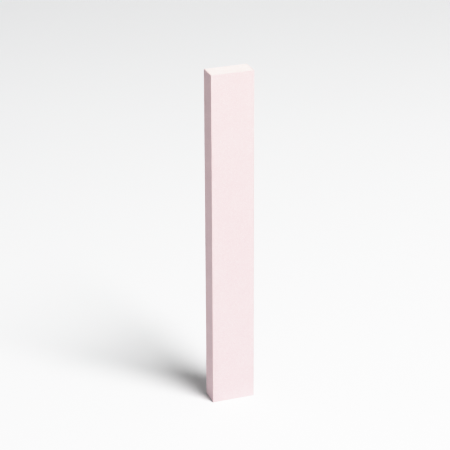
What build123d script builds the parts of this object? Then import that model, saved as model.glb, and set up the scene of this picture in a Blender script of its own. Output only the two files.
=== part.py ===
from build123d import *

import os

# A slim four-sided nail buffer block: a foam bar with a coated abrasive sheet bonded to each long face.
#
# Frame: the origin is the centre of the base end. +Z runs along the block, -Y is the front broad face
# and +X is the right narrow face.
#
# Build order of the real block: coated sheets are bonded to both broad faces of a foam slab, the slab
# is slit into bars, and the two narrow faces are then covered in the same way. The narrow sheets span
# the full thickness, so they hide the cut edges of the broad sheets, and their own cut edges show as a
# thin line along each side of the front and the back. Both ends are cut last, and are bare foam.

# Driving dimensions, in millimetres.
LENGTH = 178.0  # end to end, the seven inch length of a salon buffer
FOAM_THICKNESS = 9.5  # stock thickness of the foam slab, three eighths of an inch
FOAM_WIDTH = 21.6  # width of the slit foam bar
ADHESIVE_THICKNESS = 0.08  # acrylic transfer adhesive
BACKING_THICKNESS = 0.20  # latex-filled paper that carries the grit
GRIT_THICKNESS = 0.12  # resin and mineral grains on the backing
EDGE_BREAK = 0.05  # chamfer that cutting leaves on the outer edges of a grit coat

# Worked out from the driving dimensions.
SHEET_THICKNESS = ADHESIVE_THICKNESS + BACKING_THICKNESS + GRIT_THICKNESS
BLOCK_THICKNESS = FOAM_THICKNESS + 2 * SHEET_THICKNESS
BLOCK_WIDTH = FOAM_WIDTH + 2 * SHEET_THICKNESS

# The layers of one coated sheet, from the foam outwards.
LAYERS = [
    ("adhesive", ADHESIVE_THICKNESS),
    ("backing", BACKING_THICKNESS),
    ("grit_coat", GRIT_THICKNESS),
]


def foam_core():
    """The bare foam bar, standing on the base end."""
    return Box(FOAM_WIDTH, FOAM_THICKNESS, LENGTH, align=(Align.CENTER, Align.CENTER, Align.MIN))


def broad_plate(side, inner_distance, thickness):
    """A full-length plate across the foam's width; side is -1 at the front and 1 at the back."""
    middle = side * (inner_distance + thickness / 2)
    return Pos(0, middle, LENGTH / 2) * Box(FOAM_WIDTH, thickness, LENGTH)


def narrow_plate(side, inner_distance, thickness):
    """A full-length plate across the block's thickness; side is -1 at the left and 1 at the right."""
    middle = side * (inner_distance + thickness / 2)
    return Pos(middle, 0, LENGTH / 2) * Box(thickness, BLOCK_THICKNESS, LENGTH)


def coated_sheet(plate, side, foam_distance):
    """The three layers of one sheet, as a dictionary of layer name to solid."""
    layers = {}
    distance = foam_distance
    for layer, thickness in LAYERS:
        layers[layer] = plate(side, distance, thickness)
        distance += thickness
    return layers


def broad_sheet(side):
    """A front or back sheet.

    The long edges of its coat butt against the narrow sheets, so only its two end edges are broken.
    """
    layers = coated_sheet(broad_plate, side, FOAM_THICKNESS / 2)
    outer_face = layers["grit_coat"].faces().sort_by(Axis.Y)[0 if side < 0 else -1]
    layers["grit_coat"] = chamfer(outer_face.edges().filter_by(Axis.X), EDGE_BREAK)
    return layers


def narrow_sheet(side):
    """A left or right sheet, whose coat has all four outer edges broken."""
    layers = coated_sheet(narrow_plate, side, FOAM_WIDTH / 2)
    outer_face = layers["grit_coat"].faces().sort_by(Axis.X)[0 if side < 0 else -1]
    layers["grit_coat"] = chamfer(outer_face.edges(), EDGE_BREAK)
    return layers


def all_nodes():
    """Every separate piece of the block, as a dictionary of node name to solid."""
    sheets = {
        "front": broad_sheet(-1),
        "back": broad_sheet(1),
        "left": narrow_sheet(-1),
        "right": narrow_sheet(1),
    }
    nodes = {"foam_core": foam_core()}
    for face, layers in sheets.items():
        for layer, solid in layers.items():
            nodes[f"{face}_{layer}"] = solid
    return nodes


os.makedirs("parts", exist_ok=True)
for name, solid in all_nodes().items():
    export_step(solid, f"parts/{name}.step")
print(f"block {BLOCK_WIDTH:.2f} x {BLOCK_THICKNESS:.2f} x {LENGTH:.2f} mm")
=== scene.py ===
import math

import bmesh
import bpy
import numpy as np
from mathutils import Matrix, Vector


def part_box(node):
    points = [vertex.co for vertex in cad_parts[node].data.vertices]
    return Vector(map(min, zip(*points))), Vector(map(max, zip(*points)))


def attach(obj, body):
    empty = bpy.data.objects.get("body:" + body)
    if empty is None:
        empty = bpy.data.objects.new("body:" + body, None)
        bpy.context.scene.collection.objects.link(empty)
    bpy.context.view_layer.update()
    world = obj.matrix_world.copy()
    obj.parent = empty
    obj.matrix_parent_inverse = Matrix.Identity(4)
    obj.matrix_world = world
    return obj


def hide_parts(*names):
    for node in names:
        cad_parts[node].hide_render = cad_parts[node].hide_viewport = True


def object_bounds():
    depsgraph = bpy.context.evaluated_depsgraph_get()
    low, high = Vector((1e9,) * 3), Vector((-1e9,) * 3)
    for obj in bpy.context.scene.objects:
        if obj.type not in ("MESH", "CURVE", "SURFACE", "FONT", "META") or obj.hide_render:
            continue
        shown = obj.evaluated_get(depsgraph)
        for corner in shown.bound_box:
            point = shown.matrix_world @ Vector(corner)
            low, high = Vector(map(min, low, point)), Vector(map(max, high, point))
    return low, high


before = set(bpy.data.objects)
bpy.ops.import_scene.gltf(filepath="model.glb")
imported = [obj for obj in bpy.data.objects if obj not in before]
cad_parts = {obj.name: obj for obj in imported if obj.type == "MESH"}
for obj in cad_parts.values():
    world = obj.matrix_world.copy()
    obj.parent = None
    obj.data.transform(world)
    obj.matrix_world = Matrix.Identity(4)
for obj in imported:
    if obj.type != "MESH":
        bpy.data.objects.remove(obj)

# The visual model of a slim four-sided nail buffer block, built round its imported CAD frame.
#
# Every layer of the block is its own dense mesh in place of the CAD solid it is named after: four grit
# coats with an uneven face and a chipped cut edge, four paper backings, four adhesive films, and a foam bar
# whose two ends show the cut-open cells. The four sheets end a little short of the foam, and more so at the
# base. Sizes and places come from the frame. Lengths are in metres.

MM = 0.001
BODY = "root"
SHEETS = ("front", "back", "left", "right")

cad_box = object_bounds()
foam_low, foam_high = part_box("foam_core")
block_low, block_high = (Vector(corner) for corner in cad_box)
BLOCK_LENGTH = block_high.z - block_low.z


# ---------------------------------------------------------------- repeatable noise for the meshes

SCATTER_I, SCATTER_J, SCATTER_K, SCATTER = 374761393, 668265263, 974634777, 1274126177  # large and odd
WORD = 0xFFFFFFFF  # the largest number of 32 bits
HALF_WORD = 0x7FFFFFFF


def lattice_number(i, j, k, seed):
    """A repeatable number from -1 to 1 for each point of a whole-number lattice."""
    mixed = (i * SCATTER_I + j * SCATTER_J + k * SCATTER_K + seed * SCATTER) & WORD
    mixed = ((mixed ^ (mixed >> 13)) * SCATTER) & WORD
    mixed = mixed ^ (mixed >> 16)
    return mixed / HALF_WORD - 1.0


def value_noise(points, cell, seed):
    """Smooth noise from -1 to 1 at each of the (n, 3) points, with features about one cell across."""
    scaled = points / cell
    corner = np.floor(scaled).astype(np.int64)
    blend = scaled - corner
    blend = blend * blend * (3 - 2 * blend)
    total = np.zeros(len(points))
    for di in (0, 1):
        for dj in (0, 1):
            for dk in (0, 1):
                weight = np.abs(1 - di - blend[:, 0]) * np.abs(1 - dj - blend[:, 1])
                weight = weight * np.abs(1 - dk - blend[:, 2])
                number = lattice_number(corner[:, 0] + di, corner[:, 1] + dj, corner[:, 2] + dk, seed)
                total += weight * number
    return total


CELL_STRAY = 0.42  # how far the middle of a foam cell strays from its lattice place, in spacings
CELL_OPEN = 0.6  # how much nearer one middle is than the next where a cell is fully open, in spacings


def foam_cells(points, spacing, seed):
    """For each point of a cut end, how far inside a foam cell it lies, and how deep that cell was cut.

    The first is 0 on the wall between two cells and rises to about 1 in the middle of a cell. The second
    is the same all over one cell, from 0 to 1.
    """
    column = np.floor(points[:, 0] / spacing).astype(np.int64)
    row = np.floor(points[:, 1] / spacing).astype(np.int64)
    nearest = np.full(len(points), np.inf)
    second = np.full(len(points), np.inf)
    cut = np.zeros(len(points))
    for di in (-1, 0, 1):
        for dj in (-1, 0, 1):
            i, j = column + di, row + dj
            middle_x = (i + 0.5 + CELL_STRAY * lattice_number(i, j, 1, seed)) * spacing
            middle_y = (j + 0.5 + CELL_STRAY * lattice_number(i, j, 2, seed)) * spacing
            distance = np.hypot(points[:, 0] - middle_x, points[:, 1] - middle_y)
            closer = distance < nearest
            second = np.where(closer, nearest, np.minimum(second, distance))
            cut = np.where(closer, 0.5 + 0.5 * lattice_number(i, j, 3, seed), cut)
            nearest = np.where(closer, distance, nearest)
    return np.clip((second - nearest) / (CELL_OPEN * spacing), 0, 1), cut


# ---------------------------------------------------------------- mesh building

SHARP_ANGLE = math.radians(50)  # a mesh edge that turns more than this stays sharp


def grid_quads(numbers):
    """Quads over a 2-D array of vertex numbers."""
    corners = [numbers[:-1, :-1], numbers[1:, :-1], numbers[1:, 1:], numbers[:-1, 1:]]
    return np.stack(corners, -1).reshape(-1, 4).tolist()


def border(numbers):
    """The entries along the border of a 2-D array, once round."""
    sides = [numbers[:-1, 0], numbers[-1, :-1], numbers[:0:-1, -1], numbers[0, :0:-1]]
    return np.concatenate(sides)


def bridge(loop_a, loop_b):
    """Quads between two closed loops of vertex numbers."""
    return np.stack([loop_a, np.roll(loop_a, -1), np.roll(loop_b, -1), loop_b], -1).tolist()


def strip_cover(loop, across, along, end_rows):
    """Faces that close a border loop of across by along cells.

    Long quads cover all but the first and last end_rows cells, and one many-sided face covers each end,
    whose outline may wander within those cells.
    """
    near = loop[: across + 1]
    right = loop[across : across + along + 1]
    far = loop[across + along : 2 * across + along + 1]
    left = np.concatenate([loop[2 * across + along :], loop[:1]])[::-1]
    faces = [near.tolist() + right[1 : end_rows + 1].tolist() + left[end_rows:0:-1].tolist()]
    for row in range(end_rows, along - end_rows):
        faces.append([int(left[row]), int(right[row]), int(right[row + 1]), int(left[row + 1])])
    far_left = left[-2 : -2 - end_rows : -1]
    faces.append(right[-1 - end_rows : -1].tolist() + far.tolist() + far_left.tolist())
    return faces


def make_piece(name, vertices, faces, values=None):
    """A closed mesh object with outward normals, and a named number at each vertex for its material."""
    mesh = bpy.data.meshes.new(name)
    mesh.from_pydata(vertices.tolist(), [], faces)
    work = bmesh.new()
    work.from_mesh(mesh)
    bmesh.ops.recalc_face_normals(work, faces=work.faces)
    work.to_mesh(mesh)
    work.free()
    mesh.shade_smooth()
    mesh.set_sharp_from_angle(angle=SHARP_ANGLE)
    for attribute_name, numbers in (values or {}).items():
        attribute = mesh.attributes.new(attribute_name, "FLOAT", "POINT")
        attribute.data.foreach_set("value", numbers.astype(np.float32))
    piece = bpy.data.objects.new(name, mesh)
    bpy.context.scene.collection.objects.link(piece)
    return piece


class Plate:
    """A flat layer between two planes, seen from outside.

    across and out are the axes (0 for X, 1 for Y) over its width and out of its face, and side is -1 or 1
    for the direction of out. Its length always runs along Z.
    """

    def __init__(self, node):
        self.low, self.high = (np.array(corner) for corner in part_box(node))
        size = self.high - self.low
        self.out = int(size[1] < size[0])
        self.across = 1 - self.out
        self.side = 1 if self.low[self.out] + self.high[self.out] > 0 else -1
        self.width = size[self.across]
        self.length = size[2]
        self.thickness = size[self.out]

    def place(self, across, along, depth):
        """Points in the frame's axes, from distances over the width, along the length and below the face."""
        points = np.zeros(across.shape + (3,))
        points[..., self.across] = self.low[self.across] + across
        points[..., 2] = self.low[2] + along
        face = self.high[self.out] if self.side > 0 else self.low[self.out]
        points[..., self.out] = face - self.side * depth
        return points


def plate_piece(name, node, cell, face_depth, rim, gap_seed, values=None):
    """A layer with a dense outer face, a shaped cut edge all round, and a plain inner face.

    face_depth gives how far the outer face lies below the CAD face at (n, 3) points. rim is a list of
    rings down the cut edge, each a function of (n, 3) points that gives how far the ring lies in from
    the layer's outline, and how far below the CAD face. Both ends of the outline lie short of the CAD
    outline by end_gap, and the rows near them close up to make room. values gives, by name, rules for
    the numbers that the material reads at each vertex.
    """
    plate = Plate(node)
    columns = max(2, round(plate.width / cell))
    rows = max(3, round(plate.length / cell))
    across, along = np.meshgrid(
        np.linspace(0, plate.width, columns + 1), np.linspace(0, plate.length, rows + 1), indexing="ij"
    )
    flat = plate.place(across, along, np.zeros_like(across)).reshape(-1, 3)
    to_centre = np.sign(plate.length / 2 - along)
    from_end = np.minimum(along, plate.length - along)
    gap = end_gap(flat, gap_seed).reshape(along.shape)
    cut_along = along + to_centre * gap * np.clip(1 - from_end / END_GAP_REACH, 0, 1)

    numbers = np.arange(across.size).reshape(across.shape)
    loop = border(numbers)
    edge_points = flat[loop]
    edge_across, edge_along = across.reshape(-1)[loop], cut_along.reshape(-1)[loop]
    on_side = np.minimum(edge_across, plate.width - edge_across) < cell / 2
    on_end = from_end.reshape(-1)[loop] < cell / 2
    step_across = np.sign(plate.width / 2 - edge_across) * on_side
    step_along = to_centre.reshape(-1)[loop] * on_end

    def ring_place(ring):
        inset, depth = ring(edge_points)
        return plate.place(edge_across + step_across * inset, edge_along + step_along * inset, depth)

    vertices = plate.place(across, cut_along, face_depth(flat).reshape(across.shape)).reshape(-1, 3)
    vertices[loop] = ring_place(rim[0])
    faces = grid_quads(numbers)
    sources = [flat]
    blocks = [vertices]
    count = len(vertices)
    for ring in rim[1:]:
        next_loop = np.arange(count, count + len(loop))
        blocks.append(ring_place(ring))
        sources.append(edge_points)
        faces += bridge(loop, next_loop)
        loop = next_loop
        count += len(loop)
    faces += strip_cover(loop, columns, rows, math.ceil(COVER_END / cell))
    sources = np.concatenate(sources)
    values = {key: rule(plate, sources) for key, rule in (values or {}).items()}
    return make_piece(name, np.concatenate(blocks), faces, values)


# ---------------------------------------------------------------- the layers

GRIT_CELL = 0.215 * MM  # mesh cells of each layer
BACKING_CELL = 0.5 * MM
ADHESIVE_CELL = 0.7 * MM
FOAM_CELL = 0.07 * MM
COAT_RIM_SEED, GAP_SEED, PAPER_RIM_SEED, FILM_RIM_SEED = 10, 15, 20, 30  # added to a sheet's own seed
FOAM_TOP_SEED, FOAM_BASE_SEED = 401, 811
SHEET_SEED = 1000  # times a sheet's place in SHEETS, counted from 1, is its own seed

END_GAP = 0.06 * MM  # how far the sheets end short of the foam at the two cut ends
BASE_GAP = 0.40 * MM  # how much more that is at the base end, all round except along the front
BASE_GAP_RISE = 1.4 * MM  # how far behind the front the base gap reaches that
END_GAP_REACH = 4 * MM  # length over which a sheet's mesh closes up to make room for its gap
END_GAP_UNEVEN = 0.15  # how far it wanders each way, as a share of its full size, which it never passes
END_GAP_PATCH = 2.3 * MM  # length over which it wanders
COVER_END = 0.64 * MM  # length of the inner face's end pieces, beyond the deepest gap and nick

GRIT_RELIEF = (  # size and height of the waves, clumps and grains on a coat's face
    (7 * MM, 0.008 * MM),
    (1.3 * MM, 0.008 * MM),
    (0.3 * MM, 0.016 * MM),
)
GRIT_LIP = 0.05 * MM  # rounding of a coat's cut edge, as deep as the CAD edge break
NICK_DEPTH = 0.07 * MM  # the deepest nick in a coat's cut edge
NICK_SIZE = 0.45 * MM
NICK_START = 0.35  # noise level above which an edge is nicked
NICK_PATCH = 3.1 * MM  # length of the stretches with more or fewer nicks
NICK_PATCH_SHARE = 0.45  # how far such a stretch moves that level
WEAR_REACH = 0.22 * MM  # how far in from its edges a coat is worn
WEAR_UNEVEN = 0.16 * MM  # how much more or less that is from place to place
WEAR_PATCH = 0.8 * MM
WEAR_SEED = 71

FUR = 0.014 * MM  # half the depth of the fur on a cut paper edge
FUR_SIZE = 0.6 * MM
FILM_SHORT = 0.07 * MM  # how far an adhesive film stops short of its sheet's edge
FILM_BULGE = 0.02 * MM  # how far the middle of its thickness bulges back out
FILM_WANDER = 0.035 * MM  # how far its edge wanders either way
FILM_WANDER_LENGTH = 1.7 * MM

FOAM_PORE = 0.38 * MM  # spacing of the foam's own cells
FOAM_PIT = 0.13 * MM  # depth of the deepest cell that a cut has opened
SHALLOWEST_PIT = 0.35  # depth of the shallowest, as a share of that
SAW_WAVE = 0.03 * MM  # height of the waves that the saw has left on the ends
SAW_SPACING = 1.1 * MM
SAW_STRETCH = np.array([0.35, 1, 1])  # makes the waves longer along X
FOAM_RIM = 0.12 * MM  # width over which an end becomes level towards its rim
FOAM_RINGS = 8  # lengths that the foam's covered sides are divided into
FOAM_DRAG = 0.16 * MM  # how far the cut has drawn the foam's base edges up, except the front one
FOAM_DRAG_REACH = 0.7 * MM  # how far in from those edges it is drawn up


def end_gap(points, seed):
    """How far a sheet's cut end lies short of the foam's end."""
    rise = np.clip((points[:, 1] - block_low.y) / BASE_GAP_RISE, 0, 1)
    rise = rise * rise * (3 - 2 * rise)
    at_base = points[:, 2] < BLOCK_LENGTH / 2
    uneven = 1 - END_GAP_UNEVEN + END_GAP_UNEVEN * value_noise(points, END_GAP_PATCH, seed)
    return (END_GAP + BASE_GAP * rise * at_base) * uneven


def grit_depth(seed):
    """The uneven face of a grit coat: slow waves in the coating, clumps and single coarse grains."""

    def depth(points):
        total = np.zeros(len(points))
        for number, (size, height) in enumerate(GRIT_RELIEF):
            total += height * (0.5 + 0.5 * value_noise(points, size, seed + number))
        return total

    return depth


def level_face(points):
    """An outer face that lies on the CAD face."""
    return np.zeros(len(points))


def chips(points, seed):
    """Nicks along a cut edge, from 0 to 1: none over most of it, and a few short deep ones."""
    ragged = value_noise(points, NICK_SIZE, seed)
    patches = value_noise(points, NICK_PATCH, seed + 1)
    return np.clip(ragged - NICK_START + NICK_PATCH_SHARE * patches, 0, 1)


def cut_rim(seed, thickness):
    """The rings of a coat's cut edge: a rounded and nicked lip, then straight down to its inside."""

    def ring(inset, depth, nick_share):
        def place(points):
            return inset + NICK_DEPTH * nick_share * chips(points, seed), depth

        return place

    return [
        ring(GRIT_LIP, 0.10 * GRIT_LIP, 1.0),
        ring(0.4 * GRIT_LIP, 0.4 * GRIT_LIP, 0.9),
        ring(0.08 * GRIT_LIP, 0.85 * GRIT_LIP, 0.6),
        ring(0.0, thickness, 0.15),
    ]


def edge_wear(plate, points):
    """1 on a coat's cut edges, falling to 0 within 0.4 mm, broken up by noise."""
    from_side = np.minimum(points[:, plate.across] - plate.low[plate.across],
                           plate.high[plate.across] - points[:, plate.across])
    from_end = np.minimum(points[:, 2] - plate.low[2], plate.high[2] - points[:, 2])
    reach = WEAR_REACH + WEAR_UNEVEN * value_noise(points, WEAR_PATCH, WEAR_SEED)
    return np.clip(1 - np.minimum(from_side, from_end) / reach, 0, 1)


def grit_coat(sheet, seed):
    """The mineral and resin coat of one sheet."""
    node = f"{sheet}_grit_coat"
    rim = cut_rim(seed + COAT_RIM_SEED, Plate(node).thickness)
    values = {"edge_wear": edge_wear}
    return plate_piece(f"{node}_skin", node, GRIT_CELL, grit_depth(seed), rim, seed + GAP_SEED, values)


def fibre_rim(seed, thickness):
    """The rings of a cut paper edge, which stays square and slightly furred."""

    def ring(depth_share):
        def place(points):
            fur = FUR * (1 + value_noise(points + depth_share * MM, FUR_SIZE, seed))
            return fur, depth_share * thickness

        return place

    return [ring(share) for share in (0.0, 0.33, 0.66, 1.0)]


def backing(sheet, seed):
    """The paper that carries one coat, seen only at its cut edges."""
    node = f"{sheet}_backing"
    rim = fibre_rim(seed + PAPER_RIM_SEED, Plate(node).thickness)
    return plate_piece(f"{node}_paper", node, BACKING_CELL, level_face, rim, seed + GAP_SEED)


def film_rim(seed, thickness):
    """The rings of an adhesive film, which stops short of the cut by a wandering amount."""

    def ring(depth_share, bulge):
        def place(points):
            wander = FILM_WANDER * value_noise(points, FILM_WANDER_LENGTH, seed)
            return FILM_SHORT - FILM_BULGE * bulge + wander, depth_share * thickness

        return place

    return [ring(0.0, 0.0), ring(0.3, 1.0), ring(0.7, 1.0), ring(1.0, 0.0)]


def adhesive(sheet, seed):
    """The transfer film under one backing."""
    node = f"{sheet}_adhesive"
    rim = film_rim(seed + FILM_RIM_SEED, Plate(node).thickness)
    return plate_piece(f"{node}_film", node, ADHESIVE_CELL, level_face, rim, seed + GAP_SEED)


def foam_end(across, through, seed):
    """How far a cut foam end lies in from the CAD end, and how deep in a cell each of its points is.

    The end is level at its rim. Inside that, open cells of uneven depth lie on faint saw waves.
    """
    points = np.stack([across, through, np.zeros_like(across)], -1).reshape(-1, 3)
    saw = 0.5 + 0.5 * value_noise(points * SAW_STRETCH, SAW_SPACING, seed)
    inside, cut = foam_cells(points, FOAM_PORE, seed + 1)
    from_rim = np.minimum.reduce([
        points[:, 0] - foam_low.x, foam_high.x - points[:, 0],
        points[:, 1] - foam_low.y, foam_high.y - points[:, 1],
    ])
    level = np.clip(from_rim / FOAM_RIM, 0, 1)
    pits = level * np.sqrt(inside) * (SHALLOWEST_PIT + (1 - SHALLOWEST_PIT) * cut)
    depth = level * SAW_WAVE * saw + FOAM_PIT * pits
    return depth.reshape(across.shape), pits


def drawn_up(across, through):
    """How far the cut has drawn the foam's base end up along its left, right and back edges."""
    from_edge = np.minimum.reduce([across - foam_low.x, foam_high.x - across, foam_high.y - through])
    return FOAM_DRAG * np.clip(1 - from_edge / FOAM_DRAG_REACH, 0, 1) ** 2


def foam_bar():
    """The foam core: both ends densely meshed, joined by rings down its covered sides."""
    columns = round((foam_high.x - foam_low.x) / FOAM_CELL)
    rows = round((foam_high.y - foam_low.y) / FOAM_CELL)
    across, through = np.meshgrid(
        np.linspace(foam_low.x, foam_high.x, columns + 1),
        np.linspace(foam_low.y, foam_high.y, rows + 1), indexing="ij"
    )
    top_depth, top_pits = foam_end(across, through, FOAM_TOP_SEED)
    base_depth, base_pits = foam_end(across, through, FOAM_BASE_SEED)
    base_depth += drawn_up(across, through)
    top = np.stack([across, through, foam_high.z - top_depth], -1).reshape(-1, 3)
    base = np.stack([across, through, foam_low.z + base_depth], -1).reshape(-1, 3)
    numbers = np.arange(across.size).reshape(across.shape)
    faces = grid_quads(numbers) + grid_quads(numbers + across.size)
    vertices = [top, base]
    count = 2 * across.size
    loop = border(numbers)
    outline = top[loop]
    for step in range(1, FOAM_RINGS):
        level = foam_high.z + (foam_low.z - foam_high.z) * step / FOAM_RINGS
        ring = outline.copy()
        ring[:, 2] = level
        next_loop = np.arange(count, count + len(ring))
        vertices.append(ring)
        faces += bridge(loop, next_loop)
        loop = next_loop
        count += len(ring)
    faces += bridge(loop, border(numbers) + across.size)
    pits = np.concatenate([top_pits, base_pits, np.zeros(count - 2 * across.size)])
    return make_piece("foam_core_cells", np.concatenate(vertices), faces, {"pit": pits})


# ---------------------------------------------------------------- materials

class Nodes:
    """Short calls for building one material's node tree."""

    def __init__(self, name):
        self.material = bpy.data.materials.new(name)
        self.material.use_nodes = True
        self.tree = self.material.node_tree
        self.shader = self.tree.nodes["Principled BSDF"]
        self.place = self.add("ShaderNodeTexCoord").outputs["Object"]

    def add(self, kind, **settings):
        """A new node of that kind, with those settings."""
        node = self.tree.nodes.new(kind)
        for key, value in settings.items():
            setattr(node, key, value)
        return node

    def link(self, source, target):
        """Links an output socket to an input socket."""
        self.tree.links.new(source, target)

    def stretched(self, scale):
        """The object's own coordinates, scaled apart along X, Y and Z."""
        mapping = self.add("ShaderNodeMapping")
        mapping.inputs["Scale"].default_value = scale
        self.link(self.place, mapping.inputs["Vector"])
        return mapping.outputs["Vector"]

    def noise(self, size, detail, low=0.35, high=0.65, at=None):
        """Noise with features about size across, whose raw values from low to high are spread over 0..1."""
        node = self.add("ShaderNodeTexNoise")
        node.inputs["Scale"].default_value = 1 / size
        node.inputs["Detail"].default_value = detail
        self.link(at or self.place, node.inputs["Vector"])
        return self.span(node.outputs["Fac"], low, high)

    def grains(self, size):
        """The Voronoi cells of separate grains about size across: (distance, random colour)."""
        node = self.add("ShaderNodeTexVoronoi")
        node.inputs["Scale"].default_value = 1 / size
        self.link(self.place, node.inputs["Vector"])
        return node.outputs["Distance"], node.outputs["Color"]

    def attribute(self, name):
        """The number that make_piece stored under that name."""
        return self.add("ShaderNodeAttribute", attribute_name=name).outputs["Fac"]

    def span(self, value, low, high, to_low=0.0, to_high=1.0):
        """value from low..high spread over to_low..to_high, and held at its ends."""
        node = self.add("ShaderNodeMapRange")
        node.inputs["From Min"].default_value = low
        node.inputs["From Max"].default_value = high
        node.inputs["To Min"].default_value = to_low
        node.inputs["To Max"].default_value = to_high
        self.link(value, node.inputs["Value"])
        return node.outputs["Result"]

    def scaled(self, value, factor):
        """value times a plain number."""
        node = self.add("ShaderNodeMath", operation="MULTIPLY")
        node.inputs[1].default_value = factor
        self.link(value, node.inputs[0])
        return node.outputs["Value"]

    def mix(self, share, first, second):
        """A colour mix with that share of second; first and second are colours or sockets."""
        node = self.add("ShaderNodeMix", data_type="RGBA")
        self.link(share, node.inputs["Factor"])
        for socket, value in ((node.inputs[6], first), (node.inputs[7], second)):
            if isinstance(value, tuple):
                socket.default_value = (*value, 1)
            else:
                self.link(value, socket)
        return node.outputs[2]

    def times(self, first, second):
        """Two colour sockets multiplied together."""
        node = self.add("ShaderNodeMix", data_type="RGBA", blend_type="MULTIPLY")
        node.inputs["Factor"].default_value = 1
        self.link(first, node.inputs[6])
        self.link(second, node.inputs[7])
        return node.outputs[2]

    def height(self):
        """The object's own Z, in metres."""
        parts = self.add("ShaderNodeSeparateXYZ")
        self.link(self.place, parts.inputs["Vector"])
        return parts.outputs["Z"]

    def bump(self, height, distance, strength, normal=None):
        """A relief of that depth in metres, on top of another one if normal is given."""
        node = self.add("ShaderNodeBump")
        node.inputs["Distance"].default_value = distance
        node.inputs["Strength"].default_value = strength
        self.link(height, node.inputs["Height"])
        if normal is not None:
            self.link(normal, node.inputs["Normal"])
        return node.outputs["Normal"]

    def finish(self, color, roughness=None, normal=None, **numbers):
        """Links the sockets to the shader, sets plain numbers by socket name, and gives the material."""
        self.link(color, self.shader.inputs["Base Color"])
        if roughness is not None:
            self.link(roughness, self.shader.inputs["Roughness"])
        if normal is not None:
            self.link(normal, self.shader.inputs["Normal"])
        for key, value in numbers.items():
            self.shader.inputs[key.replace("_", " ")].default_value = value
        return self.material


PINK_PALE = (0.796, 0.629, 0.630)
PINK_DEEP = (0.699, 0.492, 0.513)
GRAIN_PALE = (0.95, 0.86, 0.85)
GRAIN_DEEP = (0.66, 0.47, 0.50)
WORN_PINK = (0.86, 0.71, 0.71)
WORN_SHARE = 0.35  # of that colour, on a coat's edges
BASE_BOUNCE_TINT = (1.040, 1.036, 1.052)  # painted bounce light: the coat is made lighter and bluer towards the base, and a little warmer towards the top
TOP_BOUNCE_TINT = (1.000, 0.985, 0.976)
MOTTLE_SIZE = 9 * MM
CLUMP_SIZE = 1.1 * MM
SPECKLE_SIZE = 0.32 * MM
GRAIN_SIZE = 0.15 * MM
GRAIN_HEIGHT = 0.05 * MM  # bump depths
GROUND_HEIGHT = 0.03 * MM

FOAM_PINK = (0.746, 0.610, 0.590)
FOAM_PALE = (0.772, 0.658, 0.634)
# painted shade, for the insides of the open cells and small pores
FOAM_PAINTED_SHADE = (0.66, 0.49, 0.47)
FOAM_WALL = (0.88, 0.77, 0.73)
FOAM_MOTTLE_SIZE = 2.4 * MM
FOAM_SKIN_SIZE = 0.25 * MM
FOAM_SKIN_HEIGHT = 0.03 * MM
SMALL_PORE_SIZE = 0.13 * MM
SMALL_PORE_DEPTH = 0.02 * MM

PAPER_PINK = (0.735, 0.590, 0.600)
PAPER_PALE = (0.775, 0.640, 0.645)
PAPER_FIBRE = (0.69, 0.52, 0.54)
FIBRE_SHARE = 0.5  # of that colour, in the strongest fibres
FIBRE_SIZE = 0.12 * MM
FIBRE_STRETCH = (1, 1, 0.12)  # makes the fibres longer along Z
FIBRE_HEIGHT = 0.03 * MM
PAPER_CLOUD_SIZE = 2.5 * MM

FILM_DEEP = (0.66, 0.50, 0.50)
FILM_PALE = (0.74, 0.58, 0.58)
STREAK_SIZE = 0.8 * MM
STREAK_STRETCH = (1, 1, 0.3)


def grit_material():
    """Pink resin packed with mineral grains: fine speckle on slow mottling, matte all over."""
    nodes = Nodes("grit_coat")
    mottle = nodes.noise(MOTTLE_SIZE, 3)
    clumps = nodes.noise(CLUMP_SIZE, 3, 0.32, 0.68)
    speckle = nodes.noise(SPECKLE_SIZE, 2)
    grain_distance, grain_tint = nodes.grains(GRAIN_SIZE)
    ground = nodes.mix(nodes.span(mottle, 0, 1, 0.38, 0.62), PINK_DEEP, PINK_PALE)

    # Clumps and speckle turn deeper where they are weak and paler where they are strong.
    clumped = nodes.mix(nodes.span(clumps, 0.0, 0.5, 0.34, 0.0), ground, PINK_DEEP)
    clumped = nodes.mix(nodes.span(clumps, 0.5, 1.0, 0.0, 0.40), clumped, PINK_PALE)
    fine = nodes.mix(nodes.span(speckle, 0, 1, 0.10, 0.55), clumped, PINK_PALE)
    fine = nodes.mix(nodes.span(speckle, 0.45, 0.0, 0.0, 0.5), fine, PINK_DEEP)

    # A few grains are pale and a few deep; which ones, their random tint says.
    grainy = nodes.mix(nodes.span(grain_tint, 0.80, 0.92, 0.0, 0.50), fine, GRAIN_PALE)
    grainy = nodes.mix(nodes.span(grain_tint, 0.22, 0.08, 0.0, 0.45), grainy, GRAIN_DEEP)
    # Painted bounce light: lighter and bluer towards the base, warmer towards the top, standing in for light
    # bounced off the floor.
    along = nodes.span(nodes.height(), block_low.z, block_high.z)
    bounce_painted = nodes.times(grainy, nodes.mix(along, BASE_BOUNCE_TINT, TOP_BOUNCE_TINT))
    worn = nodes.mix(nodes.scaled(nodes.attribute("edge_wear"), WORN_SHARE), bounce_painted, WORN_PINK)

    roughness = nodes.span(speckle, 0, 1, 0.96, 0.80)
    relief = nodes.bump(nodes.span(grain_distance, 0.0, 0.7, 1.0, 0.0), GRAIN_HEIGHT, 0.65)
    relief = nodes.bump(grain_tint, GROUND_HEIGHT, 0.35, relief)
    relief = nodes.bump(speckle, GROUND_HEIGHT, 0.5, relief)
    return nodes.finish(worn, roughness, relief, IOR=1.45)


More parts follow.
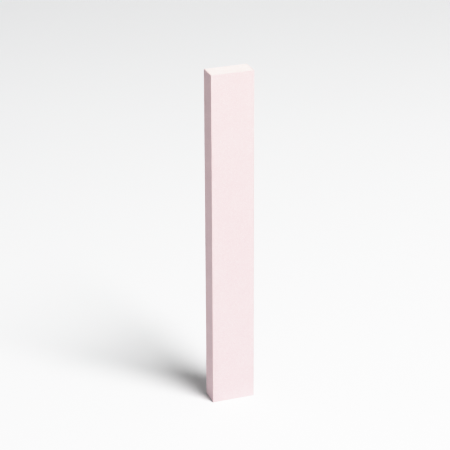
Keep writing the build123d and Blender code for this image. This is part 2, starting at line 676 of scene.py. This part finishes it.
def foam_material():
    """Pale pink closed-cell foam: paler on the cut cell walls, with painted shade darkening the open cells
    and small pores.
    """
    nodes = Nodes("foam")
    mottle = nodes.noise(FOAM_MOTTLE_SIZE, 3)
    skin = nodes.noise(FOAM_SKIN_SIZE, 2)
    pore_distance, pore_tint = nodes.grains(SMALL_PORE_SIZE)
    pit = nodes.attribute("pit")
    ground = nodes.mix(mottle, FOAM_PINK, FOAM_PALE)
    walls = nodes.mix(nodes.span(pit, 0.35, 0.0, 0.0, 0.35), ground, FOAM_WALL)
    # Painted shade: the open cells and the small pores are darkened as by the shade that falls in them.
    pit_shaded = nodes.mix(nodes.span(pit, 0.25, 0.95, 0.0, 0.55), walls, FOAM_PAINTED_SHADE)
    pore_shaded = nodes.mix(nodes.span(pore_tint, 0.75, 0.95, 0.0, 0.25), pit_shaded, FOAM_PAINTED_SHADE)
    roughness = nodes.span(skin, 0, 1, 0.9, 0.72)
    relief = nodes.bump(nodes.span(pore_distance, 0.15, 0.6), SMALL_PORE_DEPTH, 0.5)
    relief = nodes.bump(skin, FOAM_SKIN_HEIGHT, 0.4, relief)
    return nodes.finish(pore_shaded, roughness, relief, IOR=1.4)


def backing_material():
    """Paper dyed pink right through, with fibres that run along the sheet."""
    nodes = Nodes("backing")
    fibres = nodes.noise(FIBRE_SIZE, 3, at=nodes.stretched(FIBRE_STRETCH))
    ground = nodes.mix(nodes.noise(PAPER_CLOUD_SIZE, 2), PAPER_PINK, PAPER_PALE)
    fibrous = nodes.mix(nodes.scaled(fibres, FIBRE_SHARE), ground, PAPER_FIBRE)
    roughness = nodes.span(fibres, 0, 1, 0.9, 0.75)
    return nodes.finish(fibrous, roughness, nodes.bump(fibres, FIBRE_HEIGHT, 0.6), IOR=1.45)


def adhesive_material():
    """Acrylic film in the pink of the layers that show through it, smoother than they are."""
    nodes = Nodes("adhesive")
    streaks = nodes.noise(STREAK_SIZE, 3, at=nodes.stretched(STREAK_STRETCH))
    return nodes.finish(nodes.mix(streaks, FILM_DEEP, FILM_PALE), Roughness=0.35, IOR=1.47)


def dress(piece, node, material):
    """Gives a piece its material and its body, and hides the CAD node that it stands for."""
    piece.data.materials.append(material)
    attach(piece, BODY)
    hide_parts(node)


grit = grit_material()
paper = backing_material()
film = adhesive_material()
foam = foam_material()

for order, sheet in enumerate(SHEETS):
    seed = SHEET_SEED * (order + 1)
    dress(grit_coat(sheet, seed), f"{sheet}_grit_coat", grit)
    dress(backing(sheet, seed), f"{sheet}_backing", paper)
    dress(adhesive(sheet, seed), f"{sheet}_adhesive", film)

core = foam_bar()
dress(core, "foam_core", foam)


# ---------------------------------------------------------------- camera

CAMERA_AZIMUTH = math.radians(-20.21)  # to the left of straight in front
CAMERA_PITCH = math.radians(23.34)  # looking down
CAMERA_ROLL = math.radians(-0.23)
CAMERA_BACK = 5.962 * BLOCK_LENGTH  # from the base, along the line of sight
CAMERA_UP = 0.4946 * BLOCK_LENGTH  # above the base, square to the line of sight
CAMERA_RIGHT = -0.0148 * BLOCK_LENGTH
SENSOR = 36.0  # width
FOCAL_LENGTH = 163.5  # in millimetres, as the sensor is
CLIP_START = 0.01


def direction(azimuth, elevation):
    """The unit vector from the block towards a point at that azimuth and elevation."""
    flat = math.cos(elevation)
    return Vector((flat * math.sin(azimuth), -flat * math.cos(azimuth), math.sin(elevation)))


def make_camera():
    """The camera, placed and turned from the constants above."""
    towards_camera = direction(CAMERA_AZIMUTH, CAMERA_PITCH)
    right = Vector((math.cos(CAMERA_AZIMUTH), math.sin(CAMERA_AZIMUTH), 0))
    up = towards_camera.cross(right)
    tilt = Matrix.Rotation(CAMERA_ROLL, 3, towards_camera)
    right, up = tilt @ right, tilt @ up
    data = bpy.data.cameras.new("camera")
    data.sensor_width = SENSOR
    data.lens = FOCAL_LENGTH
    data.clip_start = CLIP_START
    camera = bpy.data.objects.new("camera", data)
    axes = Matrix((right, up, towards_camera)).transposed().to_4x4()
    place = CAMERA_BACK * towards_camera + CAMERA_UP * up + CAMERA_RIGHT * right
    camera.matrix_world = Matrix.Translation(place) @ axes
    bpy.context.scene.collection.objects.link(camera)
    bpy.context.scene.camera = camera


# ---------------------------------------------------------------- stage and light

FLOOR_REACH = 3.0  # from the middle to each side
FLOOR_CELLS = 24
FLOOR_DEEP = (0.888, 0.884, 0.893)
FLOOR_PALE = (0.903, 0.899, 0.908)
FLOOR_CLOUD_SIZE = 0.3  # in metres, as all sizes are
BACKDROP_SIDES = 96
BACKDROP_START = 0.8  # radius where the backdrop starts to cover the floor
BACKDROP_FULL = 1.45  # radius from which it hides the floor
BACKDROP_REACH = 3.0
BACKDROP_HEIGHT = 1.8
BACKDROP_LIFT = 0.5 * MM  # above the floor
BACKDROP_COLOR = (0.88, 0.88, 0.885)
COVE_RADIUS = 0.8
SKY = 0.05  # strength
LIGHT_AIM = 0.35 * BLOCK_LENGTH  # height that every light faces
KEY_AZIMUTH = CAMERA_AZIMUTH + math.radians(46)
KEY_ELEVATION = math.radians(56)
KEY_DISTANCE = 1.8
KEY_SIZE = (0.81, 0.75)
KEY_WATTS = 50.7
OVERHEAD_AZIMUTH = CAMERA_AZIMUTH + math.radians(25)
OVERHEAD_ELEVATION = math.radians(80)
OVERHEAD_WATTS = 4.6
OVERHEAD_COLOR = (1.0, 1.10, 0.99)  # a little green, so that the shadow beside the pink block stays grey
FILL_DISTANCE = 1.5  # the overhead and rim lights stand as far off, and are as large
FILL_SIZE = (1.0, 1.0)
FILL_AZIMUTH = CAMERA_AZIMUTH + math.radians(-95)
FILL_ELEVATION = math.radians(20)
FILL_WATTS = 2.55
FILL_COLOR = (0.96, 0.92, 1.13)  # a little violet
RIM_AZIMUTH = CAMERA_AZIMUTH + math.radians(-165)
RIM_ELEVATION = math.radians(20)
RIM_WATTS = 2.0
SHOULDER = 5.6  # how sharply the tone curve bends over into white
BRIGHTEST = 4.0  # level at which the tone curve reaches white
COMBINED = 3  # number of the curve that bends all three colours
CURVE_LEVELS = (0.2, 0.4, 0.55, 0.7, 0.8, 0.9, 1.0, 1.1, 1.25, 1.45, 1.8, 2.4, 3.2)  # closer at the bend


def make_floor():
    """A pale matte floor with a faint cloudiness."""
    mesh = bpy.data.meshes.new("floor")
    work = bmesh.new()
    bmesh.ops.create_grid(work, x_segments=FLOOR_CELLS, y_segments=FLOOR_CELLS, size=FLOOR_REACH)
    work.to_mesh(mesh)
    work.free()
    floor = bpy.data.objects.new("floor", mesh)
    bpy.context.scene.collection.objects.link(floor)
    nodes = Nodes("floor")
    color = nodes.mix(nodes.noise(FLOOR_CLOUD_SIZE, 2, 0.3, 0.7), FLOOR_DEEP, FLOOR_PALE)
    floor.data.materials.append(nodes.finish(color, Roughness=0.8, Specular_IOR_Level=0.2))


def make_backdrop():
    """A pale studio bowl round the floor: seen by the camera alone, so it adds and blocks no light.

    Its inner rim fades in over the floor, and its flat part turns up into a wall through a round cove.
    """
    turns = [math.radians(angle) for angle in range(-90, 1, 10)]
    cove_middle = BACKDROP_REACH - COVE_RADIUS
    profile = [(BACKDROP_START, 0.0), (BACKDROP_FULL, 0.0)]
    profile += [
        (cove_middle + COVE_RADIUS * math.cos(turn), COVE_RADIUS * (1 + math.sin(turn))) for turn in turns
    ]
    profile.append((BACKDROP_REACH, BACKDROP_HEIGHT))
    mesh = bpy.data.meshes.new("backdrop")
    work = bmesh.new()
    rings = []
    for radius, height in profile:
        ring = []
        for side in range(BACKDROP_SIDES):
            angle = 2 * math.pi * side / BACKDROP_SIDES
            place = (radius * math.cos(angle), radius * math.sin(angle), height + BACKDROP_LIFT)
            ring.append(work.verts.new(place))
        rings.append(ring)
    for lower, upper in zip(rings, rings[1:]):
        for side in range(BACKDROP_SIDES):
            beside = (side + 1) % BACKDROP_SIDES
            work.faces.new((lower[side], lower[beside], upper[beside], upper[side]))
    work.to_mesh(mesh)
    work.free()
    backdrop = bpy.data.objects.new("backdrop", mesh)
    bpy.context.scene.collection.objects.link(backdrop)
    backdrop.visible_diffuse = False
    backdrop.visible_glossy = False
    backdrop.visible_transmission = False
    backdrop.visible_shadow = False
    nodes = Nodes("backdrop")
    nodes.tree.nodes.remove(nodes.shader)
    distance = nodes.add("ShaderNodeVectorMath", operation="LENGTH")
    nodes.link(nodes.place, distance.inputs[0])
    glow = nodes.add("ShaderNodeEmission")
    glow.inputs["Color"].default_value = (*BACKDROP_COLOR, 1)
    fade = nodes.add("ShaderNodeMixShader")
    nodes.link(nodes.span(distance.outputs["Value"], BACKDROP_START, BACKDROP_FULL), fade.inputs["Fac"])
    nodes.link(nodes.add("ShaderNodeBsdfTransparent").outputs["BSDF"], fade.inputs[1])
    nodes.link(glow.outputs["Emission"], fade.inputs[2])
    nodes.link(fade.outputs["Shader"], nodes.tree.nodes["Material Output"].inputs["Surface"])
    backdrop.data.materials.append(nodes.material)


def softbox(name, azimuth, elevation, distance, size, watts, color=(1, 1, 1)):
    """A rectangular area light that faces the block; size is its width and height."""
    data = bpy.data.lights.new(name, "AREA")
    data.shape = "RECTANGLE"
    data.size, data.size_y = size
    data.energy = watts
    data.color = color
    light = bpy.data.objects.new(name, data)
    towards = direction(azimuth, elevation)
    place = Vector((0, 0, LIGHT_AIM)) + distance * towards
    turn = towards.to_track_quat("Z", "Y").to_matrix().to_4x4()
    light.matrix_world = Matrix.Translation(place) @ turn
    bpy.context.scene.collection.objects.link(light)


def make_sky():
    """A faint even white light from all round."""
    world = bpy.data.worlds.new("sky")
    world.use_nodes = True
    background = world.node_tree.nodes["Background"]
    background.inputs["Color"].default_value = (1, 1, 1, 1)
    background.inputs["Strength"].default_value = SKY
    bpy.context.scene.world = world


def set_tone_curve():
    """Sets a tone curve that is straight for the darks and bends over into white, as on film."""
    view = bpy.context.scene.view_settings
    view.view_transform = "Standard"
    view.use_curve_mapping = True
    mapping = view.curve_mapping
    mapping.clip_max_x = BRIGHTEST
    curve = mapping.curves[COMBINED]
    curve.points[0].location = (0, 0)
    curve.points[1].location = (BRIGHTEST, 1)
    for level in CURVE_LEVELS:
        curve.points.new(level, level / (1 + level**SHOULDER) ** (1 / SHOULDER))
    mapping.update()


make_camera()
make_floor()
make_backdrop()
softbox("key", KEY_AZIMUTH, KEY_ELEVATION, KEY_DISTANCE, KEY_SIZE, KEY_WATTS)
softbox("overhead", OVERHEAD_AZIMUTH, OVERHEAD_ELEVATION, FILL_DISTANCE, FILL_SIZE, OVERHEAD_WATTS,
        OVERHEAD_COLOR)
softbox("fill", FILL_AZIMUTH, FILL_ELEVATION, FILL_DISTANCE, FILL_SIZE, FILL_WATTS, FILL_COLOR)
softbox("rim", RIM_AZIMUTH, RIM_ELEVATION, FILL_DISTANCE, FILL_SIZE, RIM_WATTS)
make_sky()
set_tone_curve()
